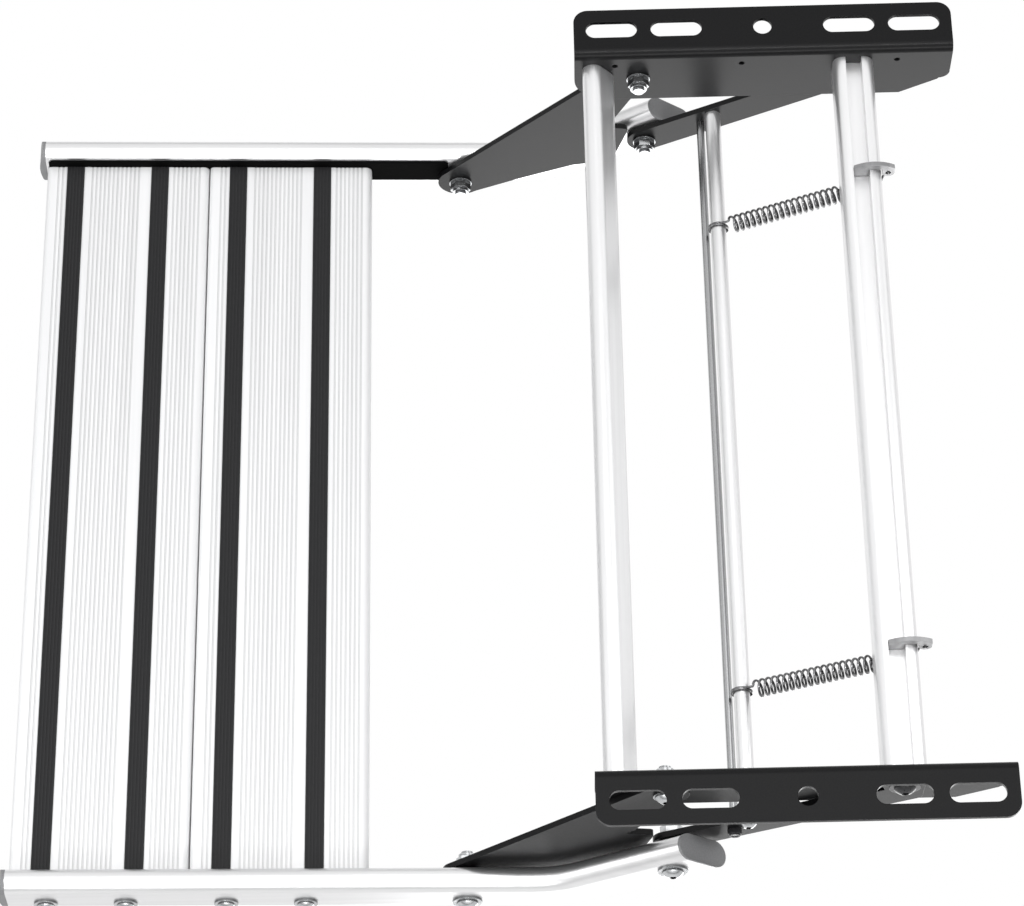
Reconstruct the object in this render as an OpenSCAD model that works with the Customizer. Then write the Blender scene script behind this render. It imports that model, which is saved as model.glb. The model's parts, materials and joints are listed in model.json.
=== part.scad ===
// Folding entry step that hangs under a vehicle floor.
// Frame: X runs from the step side (negative) to the vehicle side (positive), Y is the
// width of the step, Z is up. The origin is the middle of the two mounting flanges' top face.
// The step is drawn swung out, ready for use. Left is the +Y side, right is the -Y side.

/* [Mounting brackets] */
// Length of each bracket along the vehicle floor
bracket_len = 265; // [255:1:300]
// Width of each mounting flange
flange_w = 38; // [35:0.5:50]
// Thickness of the folded bracket plate
plate_t = 3; // [3:0.5:4]
// Outside radius of the fold between flange and web
fold_r = 6; // [5:0.5:8]
// Depth of the web below the mounting plane
web_h = 56; // [54:0.5:66]
// Corner radius of the flange's two outer corners
flange_corner_r = 10; // [4:0.5:12]
// Radius of the web's lower corner on the step side
web_front_r = 25; // [10:1:26]
// Length of the sloping lower edge on the vehicle side
web_slope_x = 34; // [20:1:40]
// Rise of that sloping lower edge
web_slope_z = 21; // [14:1:26]
// Width of the mounting slots and diameter of the middle hole
slot_w = 13; // [9:0.5:14]
// End to end length of the mounting slots
slot_len = 36; // [28:1:40]
// Distance of the inner slots from the bracket's middle
inner_slot_x = 60.5; // [55:0.5:64]
// Distance of the outer slots from the bracket's middle
outer_slot_x = 106; // [103:0.5:108]
// Distance of the slots from the flange's outer edge
slot_edge = 16.5; // [14:0.5:20]
// Diameter of the three small holes high in each web
small_hole_d = 4.2; // [3:0.1:6]
// Depth of the small holes below the mounting plane
small_hole_z = 13.8; // [12:0.1:15]
// Places of the small holes along the web
small_hole_x = [-104, -15, 94];

/* [Linkage] */
// Place of the front link's pivot ahead of the bracket's middle
front_pivot_x = 87.5; // [84:0.5:90]
// Depth of the front link's pivot below the mounting plane
front_pivot_z = 30; // [26:0.5:34]
// Place of the swing frame's pivot behind the bracket's middle
rear_pivot_x = 63; // [58:0.5:68]
// Depth of the swing frame's pivot below the mounting plane
rear_pivot_z = 23; // [22:0.5:26]
// Distance between the two pivots of a front link
front_link_len = 190.5; // [187:0.5:200]
// Distance between the two pivots of a rear link
rear_link_len = 173; // [168:0.5:176]
// Angle of the rear links below the horizontal with the step swung out
rear_link_drop = 33.1; // [31:0.1:35]
// Thickness of all four link plates
link_t = 4; // [4:0.5:6]
// End radius of a front link at the arm
front_link_toe_r = 16.5; // [14:0.5:18]
// End radius of a front link at the bracket
front_link_head_r = 15; // [13:0.5:17]
// End radius of a rear link at the arm
rear_link_toe_r = 12.5; // [12:0.5:14]
// End radius of a rear link at the rear cross member
rear_link_head_r = 13.5; // [12:0.5:15]
// Depth of the rear link's heel below its pivot line
heel_depth = 24; // [20:0.5:26]

/* [Arms] */
// Width of the arm tube
arm_w = 17; // [15:0.5:18]
// Height of the arm tube
arm_h = 38.5; // [37:0.5:42]
// Wall of the arm tube
arm_wall = 2.2; // [1.8:0.1:3]
// Length of the straight part, from the front end to the corner of the bend
arm_front_len = 370; // [362:1:380]
// Length of the rising part, from the corner of the bend to the rear end
arm_rear_len = 109; // [104:0.5:120]
// Slant of the rear end's cut against a square cut
rear_cut = 15; // [0:0.5:20]
// Rise of the tube behind the bend for each unit of its run, before the arm is tilted
arm_slope = 0.75; // [0.7:0.01:0.8]
// Radius of the bend on the tube's centre line
arm_bend_r = 60; // [50:1:80]
// Place of the front link's pivot ahead of the corner of the bend
arm_pivot_front = 63.7; // [60:0.1:66]
// Drop of that pivot below the tube's centre line
arm_pivot_drop = 5.9; // [0:0.1:6.5]
// Place of the swing frame's pivot on the rising part
arm_pivot_rear = 87; // [86:0.1:92]
// Thickness of the end caps at their rim
cap_t = 1.5; // [1.2:0.1:3]
// Extra thickness of the front end caps in the middle
cap_dome = 3.6; // [0.8:0.1:4.5]
// Overhang of the rear end caps around the tube
cap_lip = 0.5; // [0.2:0.1:1]
// Height of the dark strip let into the arm's inner face
inlay_h = 31; // [24:0.5:31]
// Depth by which that strip is let in
inlay_t = 1.2; // [0.6:0.1:1.4]
// Height of that strip above the arm's inner face
inlay_proud = 0.5; // [0.3:0.1:0.9]

/* [Treads] */
// Length of both tread planks, which is the clear width between the arms' dark strips
tread_len = 550; // [450:5:700]
// Depth of one tread plank, front to back
plank_w = 119.5; // [112:0.5:122]
// Height of a tread plank
plank_h = 26; // [24:0.5:30]
// Gap between the two planks
plank_gap = 0.4; // [0.3:0.1:1]
// Wall of the plank extrusion
plank_wall = 1.8; // [1.5:0.1:2.5]
// Height of the tread surface above the arm's centre line
tread_rise = 6; // [5:0.5:8]
// Set back of the front plank from the arm's front end
tread_setback = 1; // [0:0.5:4]
// Centres of the two grip strips, from a plank's front edge
strip_x = [21, 83];
// Width of the grip strips
strip_w = 12.8; // [10:0.2:14]
// Depth of the strips' grooves
strip_groove = 2.2; // [1.6:0.1:2.4]
// Height of the strips above the tread surface
strip_proud = 0.7; // [0.4:0.1:1.2]
// Number of ridges on a grip strip
strip_ridges = 6; // [4:1:8]
// Pitch of the fine tread grooves
groove_pitch = 3.1; // [2.8:0.1:3.6]
// Width of the fine tread grooves
groove_w = 1.3; // [0.8:0.1:1.6]
// Depth of the fine tread grooves
groove_depth = 0.6; // [0.4:0.1:0.8]
// Places of the screw ports, from a plank's front edge
port_x = [24.5, 77.5];
// Depth of the screw ports below the tread surface
port_depth = 13; // [12:0.5:14]

/* [Cross members] */
// Width and height of the slotted rear cross member
member_s = 28; // [26:0.5:30]
// Corner radius of the rear cross member
member_r = 7; // [5:0.5:8]
// Wall of the rear cross member
member_wall = 2.4; // [2:0.1:3]
// Width of the slot along the top of the rear cross member
member_slot_w = 11; // [9:0.5:12]
// Depth of that slot
member_slot_d = 8; // [6:0.5:8.5]
// Thickness of the oval front cross tube
oval_w = 14.8; // [13:0.2:16]
// Height of the oval front cross tube
oval_h = 26.3; // [25:0.1:30]
// Wall of the front cross tube
oval_wall = 2; // [1.5:0.1:2.5]
// Lean of the front cross tube from the vertical, its top towards the step
oval_lean = 38; // [20:1:45]
// Place of the front cross tube ahead of the bracket's middle
oval_x = 116; // [115:0.2:118]
// Depth of the front cross tube's centre below the mounting plane
oval_z = 22.8; // [22:0.2:28]
// Diameter of the swing tube between the rear links
swing_tube_d = 11; // [9:0.5:12]
// Wall of the swing tube
swing_tube_wall = 1.6; // [1.2:0.1:2]
// Distance of the swing tube from the swing frame's pivot, along the link
swing_tube_u = 114.3; // [110:0.1:116]
// Diameter of the tie rod between the rear links
tie_rod_d = 5.6; // [5:0.1:6]
// Distance of the tie rod from the swing frame's pivot, along the link
tie_rod_u = 127; // [126:0.5:130]
// Distance of the tie rod below the link's pivot line
tie_rod_v = 3.3; // [0:0.1:5]

/* [Springs] */
// Distance between the two springs
spring_span = 356; // [300:1:400]
// Sideways shift of the pair of springs
spring_shift = -3.5; // [-6:0.1:6]
// Wire diameter
wire_d = 1.5; // [1.2:0.1:1.8]
// Outside diameter of the coil
coil_d = 10.8; // [9:0.1:11]
// Number of turns
coil_turns = 19; // [15:1:20]
// Length of the coil
coil_len = 84; // [80:1:86]
// Thickness of the spring tabs
tab_t = 3; // [2.5:0.5:4]
// Radius of the tab's ear around its hole
tab_ear_r = 4.3; // [4:0.1:5.5]

/* [Fasteners] */
// Diameter of the pivot bolts
bolt_d = 8; // [6:1:8]
// Diameter of the tread bolts, tube screws and rod ends
screw_d = 6; // [5:0.5:6]
// Diameter of the washers under the nuts
nut_washer_d = 16.5; // [16:0.5:18]
// Diameter of the washers under the pivot bolt heads
head_washer_d = 20; // [18:0.5:21]
// Diameter of the washers under the tread bolt heads
tread_washer_d = 16; // [14:0.5:17]
// Thickness of the washers
washer_t = 1.4; // [1.2:0.1:1.6]
// Outside diameter of the bushes in the links
bush_d = 12; // [11:0.5:13]

/* [Clearances] */
// Gap between faces that slide past each other
slide_gap = 0.15; // [0.1:0.05:0.3]
// Gap between a link and the bracket's web
web_gap = 0.3; // [0.2:0.05:0.4]
// Radial running clearance of a bolt in its bush
run_gap = 0.06; // [0.02:0.01:0.1]
// Radial clearance between fixed parts
seat_gap = 0.03; // [0.02:0.01:0.1]
// Clearance between a spring tab and the member it hooks on
tab_gap = 0.2; // [0.1:0.05:0.3]

/* [Hidden] */
$fn = 64;
eps = 0.01;

// Layers across the step, measured from its middle plane
tread_half = tread_len / 2;
arm_in = tread_half + inlay_proud;
arm_out = arm_in + arm_w;
link_out = arm_in - washer_t - 2 * slide_gap;
link_in = link_out - link_t;
web_out = link_in - web_gap;
web_in = web_out - plate_t;
flange_out = web_in + flange_w;
slot_y = flange_out - slot_edge;

// Four pivots of the linkage, in the X Z plane
arm_bend = atan(arm_slope);
bracket_pivot = [-front_pivot_x, -front_pivot_z];
member_pivot = [rear_pivot_x, -rear_pivot_z];
rear_dir = [-cos(rear_link_drop), -sin(rear_link_drop)];
arm_rear_pivot = member_pivot + rear_link_len * rear_dir;
// The arm's pivots in the arm's own frame, whose origin is the corner of the bend
arm_front_local = [-arm_pivot_front, -arm_pivot_drop];
arm_rear_local = arm_pivot_rear * [cos(arm_bend), sin(arm_bend)];
arm_span = norm(arm_front_local - arm_rear_local);
arm_front_pivot = circle_meet(arm_rear_pivot, arm_span, bracket_pivot, front_link_len);
arm_tilt = heading(arm_front_pivot - arm_rear_pivot) - heading(arm_front_local - arm_rear_local);
bend_corner = arm_front_pivot - turned(arm_front_local, arm_tilt);

// Sizes that follow from others
arm_flat = arm_h - arm_w;
bend_tangent = arm_bend_r * tan(arm_bend / 2);
tread_front_x = tread_setback - arm_front_len;
port_z = tread_rise - port_depth;
port_r = screw_d / 2 + 1.9;
nut_h = 8;
nut_across = 1.625 * bolt_d;
head_d = 1.75 * bolt_d;
head_h = 0.55 * bolt_d;
swing_tube_v = -0.5;
inlay_end = -arm_pivot_front - nut_washer_d / 2 - 1;
inlay_start = 2;
member_top = -rear_pivot_z + member_s / 2;
slot_floor = member_top - member_slot_d;
spring_pitch = coil_len / coil_turns;
coil_r = (coil_d - wire_d) / 2;
bronze = "#8a7f66";
black_coat = "#35363a";
bare_alu = "#d9dbde";
zinc = "#b9bcc0";
dark_rubber = "#2a2b2e";
cap_grey = "#85878b";

// Point where two circles in the plane meet, on the side away from the vehicle
function circle_meet(a, ra, b, rb) =
    let (
        d = norm(b - a),
        along = (ra * ra - rb * rb + d * d) / (2 * d),
        off = sqrt(ra * ra - along * along),
        u = (b - a) / d
    ) a + along * u + off * [-u[1], u[0]];
function heading(v) = atan2(v[1], v[0]);
function turned(v, a) = [v[0] * cos(a) - v[1] * sin(a), v[0] * sin(a) + v[1] * cos(a)];
function unit(v) = v / norm(v);

// Placing helpers
module on_side(side) {
    if (side < 0) mirror([0, 1, 0]) children();
    else children();
}

// A plate in the X Z plane that reaches from y0 to y0 + t
module upright(y0, t) {
    translate([0, y0 + t, 0]) rotate([90, 0, 0]) linear_extrude(t) children();
}

// A round bar along Y through the point p of the X Z plane
module pin(p, y0, len, r) {
    translate([p[0], y0, p[1]]) rotate([-90, 0, 0]) cylinder(r = r, h = len);
}

// Moves children from the arm's own frame to the step's place
module in_arm_frame() {
    translate([bend_corner[0], 0, bend_corner[1]]) rotate([0, -arm_tilt, 0]) children();
}

// Flat outlines
module rounded_square(w, h, r) {
    square([w - 2 * r, h], center = true);
    square([w, h - 2 * r], center = true);
    for (x = [-1, 1], y = [-1, 1]) translate([x * (w / 2 - r), y * (h / 2 - r)]) circle(r);
}

module slot_outline(len, w) {
    square([len - w, w], center = true);
    for (x = [-1, 1]) translate([x * (len - w) / 2, 0]) circle(d = w);
}

// A stadium with its long axis upright
module stadium(w, h) {
    square([w, h - w], center = true);
    for (y = [-1, 1]) translate([0, y * (h - w) / 2]) circle(d = w);
}

// Mounting bracket
module web_outline() {
    x0 = -bracket_len / 2;
    x1 = bracket_len / 2;
    rear_r = 8;
    difference() {
        union() {
            polygon([
                [x0, -fold_r], [x0, web_front_r - web_h], [x0 + web_front_r, -web_h],
                [x1 - web_slope_x, -web_h], [x1, web_slope_z - web_h], [x1, -fold_r]
            ]);
            translate([x0 + web_front_r, web_front_r - web_h]) circle(web_front_r);
        }
        // Eases the corner between the sloping edge and the rear end
        difference() {
            polygon([
                [x1 + 1, web_slope_z - web_h - rear_r], [x1 + 1, web_slope_z - web_h + rear_r],
                [x1 - rear_r * 0.28, web_slope_z - web_h + rear_r * 0.56],
                [x1 - rear_r, web_slope_z - web_h - rear_r * web_slope_z / web_slope_x]
            ]);
            translate([x1 - rear_r, web_slope_z - web_h + rear_r * 0.56]) circle(rear_r);
        }
        for (x = small_hole_x) translate([x, -small_hole_z]) circle(d = small_hole_d);
        translate(bracket_pivot) circle(bolt_d / 2 + seat_gap);
        translate(member_pivot) circle(bolt_d / 2 + seat_gap);
    }
}

module flange_outline() {
    mid = (web_in + fold_r + flange_out) / 2;
    depth = flange_out - web_in - fold_r;
    difference() {
        union() {
            translate([-bracket_len / 2, web_in + fold_r]) square([bracket_len, depth - flange_corner_r]);
            translate([0, flange_out - flange_corner_r / 2])
                square([bracket_len - 2 * flange_corner_r, flange_corner_r], center = true);
            for (x = [-1, 1])
                translate([x * (bracket_len / 2 - flange_corner_r), flange_out - flange_corner_r])
                    circle(flange_corner_r);
        }
        for (x = [-outer_slot_x, -inner_slot_x, inner_slot_x, outer_slot_x])
            translate([x, slot_y]) slot_outline(slot_len, slot_w);
        translate([0, slot_y]) circle(d = slot_w);
    }
}

module fold() {
    translate([0, web_in + fold_r, -fold_r]) rotate([0, 90, 0])
        linear_extrude(bracket_len, center = true) intersection() {
            difference() {
                circle(fold_r);
                circle(fold_r - plate_t);
            }
            translate([-fold_r, -fold_r]) square(fold_r);
        }
}

module bracket(side) {
    color(black_coat) on_side(side) difference() {
        union() {
            translate([0, 0, -plate_t]) linear_extrude(plate_t) flange_outline();
            fold();
            upright(web_in, plate_t) web_outline();
        }
        // Countersink for the screw that holds the front cross tube
        translate([-oval_x, web_out + eps, -oval_z]) rotate([90, 0, 0])
            cylinder(r1 = screw_d, r2 = screw_d / 2 + seat_gap, h = screw_d / 2);
        pin([-oval_x, -oval_z], web_in - 1, plate_t + 2, screw_d / 2 + seat_gap);
    }
}

module bracket_left() { bracket(1); }
module bracket_right() { bracket(-1); }

// Oval tube with a screw port, between the two webs
module front_cross_tube() {
    color(bare_alu) translate([-oval_x, 0, -oval_z]) rotate([0, -oval_lean, 0])
        upright(-web_in, 2 * web_in) {
            difference() {
                stadium(oval_w, oval_h);
                stadium(oval_w - 2 * oval_wall, oval_h - 2 * oval_wall);
            }
            difference() {
                union() {
                    circle(screw_d / 2 + 1.8);
                    square([oval_w - oval_wall, oval_wall], center = true);
                }
                circle(screw_d / 2 + seat_gap);
            }
        }
}

module front_tube_screws() {
    color(zinc) for (side = [-1, 1]) on_side(side) {
        difference() {
            union() {
                pin([-oval_x, -oval_z], web_in - 18, plate_t + 16, screw_d / 2);
                translate([-oval_x, web_out - 0.1, -oval_z]) rotate([90, 0, 0])
                    cylinder(r1 = screw_d - 0.2, r2 = screw_d / 2, h = screw_d / 2 - 0.1);
            }
            translate([-oval_x, web_out, -oval_z]) rotate([90, 0, 0])
                cylinder(d = 4, h = 2.2, center = true, $fn = 6);
        }
    }
}

// Extruded cross member, slotted along its top, with a threaded port for the pivot bolts
module member_outline() {
    inner = member_s - 2 * member_wall;
    difference() {
        rounded_square(member_s, member_s, member_r);
        difference() {
            rounded_square(inner, inner, member_r - member_wall);
            circle(bolt_d / 2 + 2);
            translate([0, member_s / 2 - member_slot_d / 2 - member_wall / 2])
                square([member_slot_w + 2 * member_wall, member_slot_d + member_wall], center = true);
            for (a = [225, 315]) rotate(a) translate([member_s / 4, 0])
                square([member_s / 2, member_wall], center = true);
        }
        translate([0, member_s / 2 - member_slot_d / 2 + 1])
            square([member_slot_w, member_slot_d + 2], center = true);
        circle(bolt_d / 2 + seat_gap);
    }
}

module rear_cross_member() {
    color(bare_alu) translate([rear_pivot_x, 0, -rear_pivot_z])
        upright(-web_in, 2 * web_in) member_outline();
}

// Spring tab: a foot in the slot, a bridge over the slot's rear wall and an ear for the hook
tab_top = member_top + 6;
tab_front = rear_pivot_x - member_slot_w / 2 + tab_gap;
tab_back = rear_pivot_x + member_slot_w / 2 - tab_gap;
ear_x = rear_pivot_x + member_s / 2 + tab_gap + tab_ear_r;
ear_z = member_top - 4.2;
tab_arc_r = 24;

module tab_outline() {
    intersection() {
        difference() {
            union() {
                translate([tab_front, slot_floor + tab_gap])
                    square([tab_back - tab_front, tab_top - slot_floor]);
                translate([tab_front, member_top + tab_gap])
                    square([ear_x - tab_front, tab_top - member_top]);
                translate([ear_x - tab_ear_r, ear_z])
                    square([2 * tab_ear_r, tab_top - ear_z]);
                translate([ear_x, ear_z]) circle(tab_ear_r);
            }
            difference() {
                translate([rear_pivot_x, -rear_pivot_z])
                    rounded_square(member_s + 2 * tab_gap, member_s + 2 * tab_gap, member_r + tab_gap);
                translate([tab_front, slot_floor + tab_gap])
                    square([tab_back - tab_front, member_slot_d + 4]);
            }
            translate([ear_x, ear_z]) circle(wire_d / 2 + 1.2);
        }
        translate([(tab_front + ear_x + tab_ear_r) / 2, tab_top - tab_arc_r]) circle(tab_arc_r);
    }
}

function spring_y(side) = side * spring_span / 2 + spring_shift;

module spring_tab(side) {
    color(cap_grey) upright(spring_y(side) - tab_t / 2, tab_t) tab_outline();
}

module spring_tab_left() { spring_tab(1); }
module spring_tab_right() { spring_tab(-1); }

// Extension spring: a hook round the swing tube, the coil, and a leg that passes under
// the rear cross member and beside the tab, and ends through the hole of the tab's ear
swing_tube_at = link_point(swing_tube_u, swing_tube_v);
corner_at = [rear_pivot_x - member_s / 2 + member_r, -rear_pivot_z - member_s / 2 + member_r];
far_corner_at = [rear_pivot_x + member_s / 2 - member_r, corner_at[1]];
wrap_r = member_r + wire_d / 2 + 0.3;
// The coil's axis runs from the swing tube to a tangent of the member's lower corner
coil_line = corner_at - swing_tube_at;
coil_angle = heading(coil_line) - asin(wrap_r / norm(coil_line));
coil_axis = [cos(coil_angle), sin(coil_angle)];
coil_reach = sqrt(norm(coil_line) * norm(coil_line) - wrap_r * wrap_r);
hook_r = swing_tube_d / 2 + wire_d / 2 + 0.3;
coil_start = hook_r + 4;
leg_y = (tab_t + wire_d) / 2 + 0.25;
coil_steps = 14;
wire_sides = 6;

// Point in the plane of one spring: a distance along the coil's axis, a height above it
function spring_point(s, h, y) =
    [
        swing_tube_at[0] + s * coil_axis[0] - h * coil_axis[1], y,
        swing_tube_at[1] + s * coil_axis[1] + h * coil_axis[0]
    ];
function hook_points() = [
    for (a = [-140 : 20 : 140]) spring_point(-hook_r * cos(a), hook_r * sin(a), 0)
];
function coil_points() = [
    for (i = [0 : coil_turns * coil_steps])
        let (a = 360 * i / coil_steps)
            spring_point(coil_start + coil_len * i / (coil_turns * coil_steps),
                coil_r * cos(a), coil_r * sin(a))
];
function leg_points() = [
    spring_point(coil_start + coil_len + 2.5, coil_r * 0.25, leg_y * 0.4),
    spring_point(coil_reach - 2, 0, leg_y),
    for (a = [coil_angle - 90 : (-90 - coil_angle + 90) / 2 : -90])
        [corner_at[0] + wrap_r * cos(a), leg_y, corner_at[1] + wrap_r * sin(a)],
    for (a = [-90 : 18 : 0])
        [far_corner_at[0] + wrap_r * cos(a), leg_y, far_corner_at[1] + wrap_r * sin(a)],
    [ear_x - 1, leg_y, ear_z - 4],
    [ear_x, leg_y, ear_z - 1],
    [ear_x, leg_y - 0.8, ear_z - 0.2],
    [ear_x, 0.5, ear_z],
    [ear_x, -leg_y, ear_z]
];

function tangent_at(p, i) =
    unit(p[min(i + 1, len(p) - 1)] - p[max(i - 1, 0)]);
function across(n, t) = unit(n - (n * t) * t);
function frames(p) = [
    for (i = 0, n = across([0, 1, 0.1], tangent_at(p, 0)); i < len(p);
        i = i + 1, n = across(n, tangent_at(p, min(i, len(p) - 1)))) n
];
function ring(p, t, n, r) =
    let (b = cross(t, n))
    [for (k = [0 : wire_sides - 1]) p + r * (cos(360 * k / wire_sides) * n + sin(360 * k / wire_sides) * b)];

// A closed tube of wire along the points p
module wire(p, r) {
    count = len(p);
    normals = frames(p);
    points = [for (i = [0 : count - 1]) each ring(p[i], tangent_at(p, i), normals[i], r)];
    sides = [
        for (i = [0 : count - 2], k = [0 : wire_sides - 1])
            let (a = i * wire_sides + k, b = i * wire_sides + (k + 1) % wire_sides)
                each [[a, a + wire_sides, b], [b, a + wire_sides, b + wire_sides]]
    ];
    start_cap = [[for (k = [0 : wire_sides - 1]) k]];
    end_cap = [[for (k = [wire_sides - 1 : -1 : 0]) (count - 1) * wire_sides + k]];
    polyhedron(points, concat(sides, start_cap, end_cap));
}

module spring(side) {
    color(zinc) translate([0, spring_y(side), 0])
        wire(concat(hook_points(), coil_points(), leg_points()), wire_d / 2);
}

module spring_left() { spring(1); }
module spring_right() { spring(-1); }

// Fasteners. Each lies along Y with its head towards +Y and its bearing face at y = 0
module button_head(d, h, socket) {
    difference() {
        rotate([-90, 0, 0]) rotate_extrude() intersection() {
            square([d / 2, h]);
            translate([0, h - d * 0.62]) circle(d * 0.62);
        }
        translate([0, h + eps, 0]) rotate([90, 0, 0]) cylinder(d = socket, h = h * 0.55, $fn = 6);
    }
}

module washer(d, hole, t) {
    rotate([-90, 0, 0]) difference() {
        cylinder(d = d, h = t);
        translate([0, 0, -1]) cylinder(r = hole, h = t + 2);
    }
}

// Lock nut whose seat is at y = 0 and whose collar points to -Y
module lock_nut(across_flats, h, bore) {
    rotate([90, 0, 0]) difference() {
        union() {
            cylinder(d = across_flats / cos(30), h = h * 0.72, $fn = 6);
            cylinder(d = across_flats * 0.9, h = h);
        }
        translate([0, 0, -1]) cylinder(r = bore, h = h + 2);
    }
}

module head_with_washer(washer_d) {
    washer(washer_d, bolt_d / 2 - eps, washer_t);
    translate([0, washer_t, 0]) button_head(head_d, head_h, bolt_d * 0.62);
}

// Bolts of the front links' bracket pivots, heads outside, nuts inside the webs
module bracket_pivot_bolts() {
    nut_space = washer_t + nut_h + 2;
    color(zinc) for (side = [-1, 1]) on_side(side) {
        pin(bracket_pivot, web_in - nut_space, link_out + slide_gap - web_in + nut_space + eps, bolt_d / 2);
        translate([bracket_pivot[0], link_out + slide_gap, bracket_pivot[1]])
            head_with_washer(nut_washer_d);
    }
}

module bracket_pivot_nuts() {
    color(zinc) for (side = [-1, 1]) on_side(side)
        translate([bracket_pivot[0], web_in, bracket_pivot[1]]) {
            translate([0, -washer_t, 0]) washer(nut_washer_d, bolt_d / 2 + seat_gap, washer_t);
            translate([0, -washer_t, 0]) lock_nut(nut_across, nut_h, bolt_d / 2 + seat_gap);
        }
}

// Bolts of the swing frame, screwed into the ends of the rear cross member
module rear_pivot_bolts() {
    thread = 24;
    color(zinc) for (side = [-1, 1]) on_side(side) {
        pin(member_pivot, web_in - thread, link_out + slide_gap - web_in + thread + eps, bolt_d / 2);
        translate([member_pivot[0], link_out + slide_gap, member_pivot[1]])
            head_with_washer(head_washer_d);
    }
}

// Swing frame: two rear links joined by the swing tube and the tie rod.
// A point of a rear link is given along the pivot line, u, and below it, v
function link_point(u, v) = member_pivot + u * rear_dir + v * [-rear_dir[1], rear_dir[0]];

module rear_link_outline() {
    heel_x = rear_link_head_r;
    difference() {
        union() {
            polygon([
                link_point(0, 0), link_point(rear_link_len * 0.5, -6.4),
                link_point(rear_link_len, corner_inset - rear_link_toe_r),
                link_point(rear_link_len, rear_link_toe_r - corner_inset),
                link_point(heel_r / 2, heel_depth), link_point(-heel_r * 0.4, heel_depth - heel_r * 0.7),
                link_point(-rear_link_head_r * 0.7, rear_link_head_r * 0.7)
            ]);
            translate(link_point(heel_r * 0.55, heel_depth - heel_r)) circle(heel_r);
            translate(member_pivot) circle(rear_link_head_r);
            translate(arm_rear_pivot) circle(rear_link_toe_r);
        }
        translate(member_pivot) circle(bush_d / 2 + seat_gap);
        translate(arm_rear_pivot) circle(bush_d / 2 + seat_gap);
        translate(swing_tube_at) circle(screw_d / 2 + seat_gap);
        translate(link_point(tie_rod_u, tie_rod_v)) circle(tie_rod_d / 2 - 0.6);
    }
}
heel_r = 7;

module rear_link(side) {
    color(black_coat) on_side(side) upright(link_in, link_t) rear_link_outline();
}

module rear_link_left() { rear_link(1); }
module rear_link_right() { rear_link(-1); }

// Plain bush with a bore that runs on a pivot bolt
module bush(p, r) {
    difference() {
        pin(p, link_in, link_t, bush_d / 2);
        pin(p, link_in - 1, link_t + 2, r);
    }
}

module rear_link_bushes() {
    color(bronze) for (side = [-1, 1]) on_side(side) {
        bush(member_pivot, bolt_d / 2 + run_gap);
        bush(arm_rear_pivot, bolt_d / 2 + run_gap);
    }
}

module swing_tube() {
    color(bare_alu) difference() {
        pin(swing_tube_at, -link_in, 2 * link_in, swing_tube_d / 2);
        for (side = [-1, 1]) on_side(side)
            pin(swing_tube_at, link_in - 20, 21, screw_d / 2 + seat_gap);
        pin(swing_tube_at, -link_in + 22, 2 * link_in - 44, swing_tube_d / 2 - swing_tube_wall);
    }
}

module swing_tube_screws() {
    color(zinc) for (side = [-1, 1]) on_side(side) {
        pin(swing_tube_at, link_in - 18, link_t + 18 + eps, screw_d / 2);
        translate([swing_tube_at[0], link_out, swing_tube_at[1]]) button_head(10.5, 3.2, 4);
    }
}

// The rod has shoulders against the links and thinner ends that pass through them
module tie_rod() {
    at = link_point(tie_rod_u, tie_rod_v);
    color(zinc) {
        pin(at, -link_in, 2 * link_in, tie_rod_d / 2);
        pin(at, -link_out - 4, 2 * link_out + 8, tie_rod_d / 2 - 0.6 - seat_gap);
    }
}

module tie_rod_nuts() {
    at = link_point(tie_rod_u, tie_rod_v);
    color("#4a4c50") for (side = [-1, 1]) on_side(side)
        translate([at[0], link_out, at[1]]) mirror([0, 1, 0])
            lock_nut(8, 4.4, tie_rod_d / 2 - 0.6);
}

// Front link. A point is given along the pivot line from the bracket pivot, u, and behind it, v
front_dir = unit(arm_front_pivot - bracket_pivot);
function front_point(u, v) = bracket_pivot + u * front_dir + v * [-front_dir[1], front_dir[0]];
front_heel = [94.7, 63.5];
front_heel_r = 5;
front_tip = [60.2, 43.2];
front_tip_r = 3;
// Keeps a corner of a straight sided outline inside the round end that covers it
corner_inset = 0.1;

module front_link_outline() {
    difference() {
        union() {
            polygon([
                front_point(0, corner_inset - front_link_head_r),
                front_point(front_link_len, corner_inset - front_link_toe_r),
                front_point(front_link_len + 5, front_link_toe_r - 1.2), front_point(157, 30),
                front_point(118, 47), front_point(front_heel[0] + 2.6, front_heel[1] - 0.4),
                front_point(front_heel[0] - 3, front_heel[1] - 0.7),
                front_point(front_tip[0] - 1.3, front_tip[1] + 2.7),
                front_point(front_tip[0] - 2.8, front_tip[1] - 1.2), front_point(66, 28.5),
                front_point(58, 28.6), front_point(28.8, 18.7), front_point(0, 10)
            ]);
            translate(front_point(front_heel[0], front_heel[1] - front_heel_r)) circle(front_heel_r);
            translate(front_point(front_tip[0], front_tip[1])) circle(front_tip_r);
            translate(bracket_pivot) circle(front_link_head_r);
            translate(arm_front_pivot) circle(front_link_toe_r);
        }
        translate(bracket_pivot) circle(bush_d / 2 + seat_gap);
        translate(arm_front_pivot) circle(bolt_d / 2 + seat_gap);
    }
}

module front_link(side) {
    color(black_coat) on_side(side) upright(link_in, link_t) front_link_outline();
}

module front_link_left() { front_link(1); }
module front_link_right() { front_link(-1); }

module front_link_bush(side) {
    color(bronze) on_side(side) bush(bracket_pivot, bolt_d / 2 + run_gap);
}

module front_link_bush_left() { front_link_bush(1); }
module front_link_bush_right() { front_link_bush(-1); }

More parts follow.
